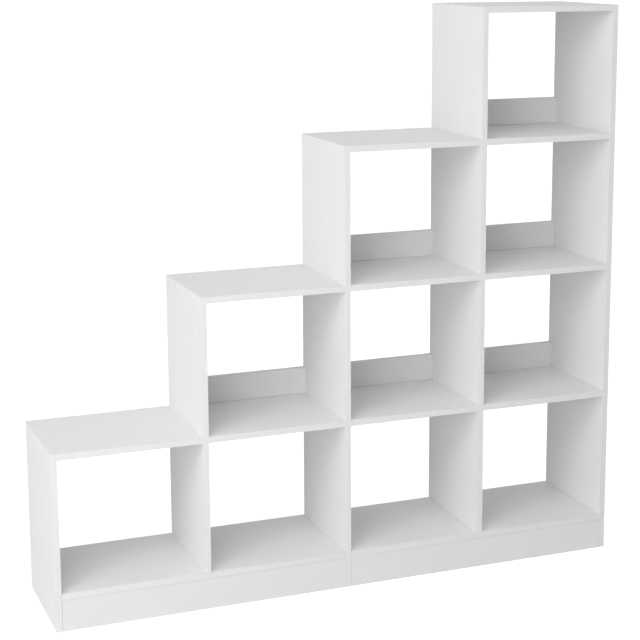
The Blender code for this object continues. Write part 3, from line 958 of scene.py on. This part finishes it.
def makeCam():
    # stands on the shelf's underside at the origin, with the upright towards +x
    c = camLook
    radius = camSizes["radius"] - c["play"]
    low, high = c["play"], camSizes["depth"] - c["play"]
    axisHeight = boardThickness / 2
    cam = newObject("camBlank", turnedForm("camBlank", [
        (low, radius - c["rim"]), (low + c["rim"], radius), (high - c["rim"], radius),
        (high, radius - c["rim"])], c["sides"]))
    cavity = turnedForm("camCavity", [
        (axisHeight + side * c["cavityHalf"], c["cavityRadius"]) for side in (-1, 1)], c["sides"])
    steps = c["slotSteps"]
    turns = [c["slotFrom"] + (c["slotTo"] - c["slotFrom"]) * i / steps for i in range(steps + 1)]
    angles = [math.radians(turn) for turn in turns]
    inner, outer = c["slotInner"], radius + fit["overcut"]
    ring = [(outer * math.cos(a), outer * math.sin(a)) for a in angles]
    ring += [(inner * math.cos(a), inner * math.sin(a)) for a in reversed(angles)]
    slot = prism("camSlot", ring, axisHeight - c["slotHalf"], axisHeight + c["slotHalf"])
    entry = turnedForm("camEntry", [(0, c["entryRadius"]), (outer, c["entryRadius"])], c["entrySides"])
    turn = Matrix.Rotation(math.radians(c["entryAt"]), 4, "Z") @ Matrix.Rotation(math.pi / 2, 4, "Y")
    entry.transform(Matrix.Translation((0, 0, axisHeight)) @ turn)
    drive = driveRecess("camDrive", c, low, -1)
    triangle = [(c["arrowInner"], -c["arrowHalf"]), (c["arrowOuter"], 0), (c["arrowInner"], c["arrowHalf"])]
    arrow = prism("camArrow", triangle, low - fit["overcut"], low + c["arrowDepth"])
    cutWith(cam, [cavity, slot, entry, drive, arrow])
    return cam


scatterPiece("cams", makeCam(), camSpots, castZinc)
print("cams made")


# Screws under the dividers that stand on a bottom board

screwLook = {
    "length": 0.050, "tip": 0.006, "tipTaper": 0.25, "pitch": 0.0028, "rings": 6, "depth": 0.0009,
    "shank": 0.016, "runout": 0.002,
    "driveSpan": 0.0055, "driveWidth": 0.0013, "driveDepth": 0.0024, "sides": 20,
}


def makeScrew():
    # countersunk, head down at the origin
    s, look = screwSizes, screwLook
    step = look["pitch"] / look["rings"]
    profile = [(0, s["headRadius"]), (s["headHeight"], s["radius"])]
    tipStart = look["length"] - look["tip"]
    count = round((tipStart - look["shank"]) / step)
    profile += [(look["shank"] + i * step, s["radius"]) for i in range(count)]
    steps = round(look["tip"] / step)
    for i in range(steps + 1):
        share = i / steps
        radius = s["radius"] * (1 - share * (1 - look["tipTaper"]))
        profile.append((tipStart + look["tip"] * share, radius))
    screw = newObject("screwBlank", turnedForm("screwBlank", profile, look["sides"]))
    cutWith(screw, [driveRecess("screwDrive", look, 0, -1)])
    applyTree(screw, threadTree, {
        "Start": look["shank"], "End": look["length"] + look["pitch"], "Pitch": look["pitch"],
        "Depth": look["depth"], "Runout": look["runout"]})
    bakeModifiers(screw)
    return screw


scatterPiece("base_screws", makeScrew(), screwSpots, zincSteel, screwNodes)
print("screws made")


# Floor, world, lamps and camera

studio = {
    "floorSize": 60.0, "floorDrop": 0.0004,
    "floorShade": 0.60, "floorGlow": 0.79,  # the floor to the camera; its shadows come from the shade
    "floorBounce": 0.70,  # the floor to the light, which it throws back up
    "backdrop": 1.12,  # just past white, so that no edge of the picture falls short of it
    # light of the world: where it comes from, how narrow it is, and how strong
    "lobes": [
        ((-1, 0, 0), 1, 0.20), ((1, 0, 0), 1, 0.53), ((0, 1, 0), 1, 0.43),
        ((-1, -1, 0), 12, 1.45), ((0, -1, 1.7), 12, 1.24), ((0, 0, 1), 12, 1.00),
    ],
    "lamps": [
        {"name": "keyLamp", "place": (-2.0, -2.0, 2.6), "aim": (-0.3, 0.0, 0.6), "size": 1.6, "power": 41.0},
        {"name": "sideLamp", "place": (-4.5, -1.2, 1.3), "aim": (0.0, 0.0, 0.75), "size": 2.2, "power": 30.0},
        {"name": "lowLamp", "place": (-3.5, -2.5, 0.8), "aim": (0.0, 0.0, 0.6), "size": 1.4, "power": 19.5},
        {"name": "frontLamp", "place": (-1.4, -3.2, 1.6), "aim": (0.0, 0.0, 0.7), "size": 1.2, "power": 13.0},
        {"name": "endLamp", "place": (4.5, 0.3, 0.9), "aim": (0.7, 0.0, 0.75), "size": 1.2, "power": 26.0},
    ],
}
cameraLook = {
    "place": (-1.4071, -3.6871, 1.5606), "yaw": -22.288, "pitch": -10.408,
    "lens": 91.56, "sensor": 36.0, "shiftX": -0.07, "shiftY": -0.118,
}


def grey(level):
    return (level, level, level, 1)


def cameraRayMask(tree):
    # 1 for rays from the camera, and for those that a gloss or a clear piece sends on
    rays = addNode(tree, "ShaderNodeLightPath").outputs
    either = mathNode(tree, "MAXIMUM", rays["Is Camera Ray"], rays["Is Glossy Ray"])
    return mathNode(tree, "MAXIMUM", either, rays["Is Transmission Ray"])


def makeFloor():
    half = studio["floorSize"] / 2
    mesh = bpy.data.meshes.new("studioFloor")
    z = -studio["floorDrop"]
    corners = [(-half, -half, z), (half, -half, z), (half, half, z), (-half, half, z)]
    mesh.from_pydata(corners, [], [(0, 1, 2, 3)])
    floor = newObject("studioFloor", mesh)
    material = bpy.data.materials.new("studioFloor")
    material.use_nodes = True
    tree = material.node_tree
    tree.nodes.clear()
    plain = addNode(tree, "ShaderNodeBsdfDiffuse", Color=grey(studio["floorBounce"]))
    shade = addNode(tree, "ShaderNodeBsdfDiffuse", Color=grey(studio["floorShade"]))
    glow = addNode(tree, "ShaderNodeEmission", Color=grey(1), Strength=studio["floorGlow"])
    seen = addNode(tree, "ShaderNodeAddShader", _0=shade.outputs[0], _1=glow.outputs[0])
    mask = cameraRayMask(tree)
    mix = addNode(tree, "ShaderNodeMixShader", _0=mask, _1=plain.outputs[0], _2=seen.outputs[0])
    addNode(tree, "ShaderNodeOutputMaterial", Surface=mix.outputs[0])
    mesh.materials.append(material)


def makeWorld():
    # white to the camera; to the bookcase a soft light from each side
    world = bpy.data.worlds.new("studioWorld")
    world.use_nodes = True
    tree = world.node_tree
    tree.nodes.clear()
    direction = addNode(tree, "ShaderNodeTexCoord").outputs["Generated"]
    level = 0.0
    for source, narrowness, strength in studio["lobes"]:
        facing = addNode(tree, "ShaderNodeVectorMath", {"operation": "DOT_PRODUCT"},
                         _0=direction, _1=Vector(source).normalized())
        lobe = mathNode(tree, "POWER", mathNode(tree, "MAXIMUM", facing.outputs["Value"], 0.0), narrowness)
        level = mathNode(tree, "ADD", mathNode(tree, "MULTIPLY", lobe, strength), level)
    lit = addNode(tree, "ShaderNodeBackground", Color=grey(1), Strength=level)
    white = addNode(tree, "ShaderNodeBackground", Color=grey(1), Strength=studio["backdrop"])
    mask = cameraRayMask(tree)
    mix = addNode(tree, "ShaderNodeMixShader", _0=mask, _1=lit.outputs[0], _2=white.outputs[0])
    addNode(tree, "ShaderNodeOutputWorld", Surface=mix.outputs[0])
    bpy.context.scene.world = world


def addLamp(look):
    lamp = bpy.data.lights.new(look["name"], "AREA")
    lamp.shape = "SQUARE"
    lamp.size = look["size"]
    lamp.energy = look["power"]
    thing = newObject(look["name"], lamp)
    thing.location = look["place"]
    thing.rotation_euler = (Vector(look["aim"]) - thing.location).to_track_quat("-Z", "Y").to_euler()
    thing.visible_camera = False


def makeCamera():
    camera = bpy.data.cameras.new("camera")
    camera.sensor_width = cameraLook["sensor"]
    camera.lens = cameraLook["lens"]
    camera.shift_x = cameraLook["shiftX"]
    camera.shift_y = cameraLook["shiftY"]
    thing = newObject("camera", camera)
    thing.location = cameraLook["place"]
    thing.rotation_euler = (math.radians(90 + cameraLook["pitch"]), 0, math.radians(cameraLook["yaw"]))
    bpy.context.scene.camera = thing


makeFloor()
makeWorld()
for lampLook in studio["lamps"]:
    addLamp(lampLook)
makeCamera()
bpy.context.scene.view_settings.view_transform = "Standard"
print("studio made")
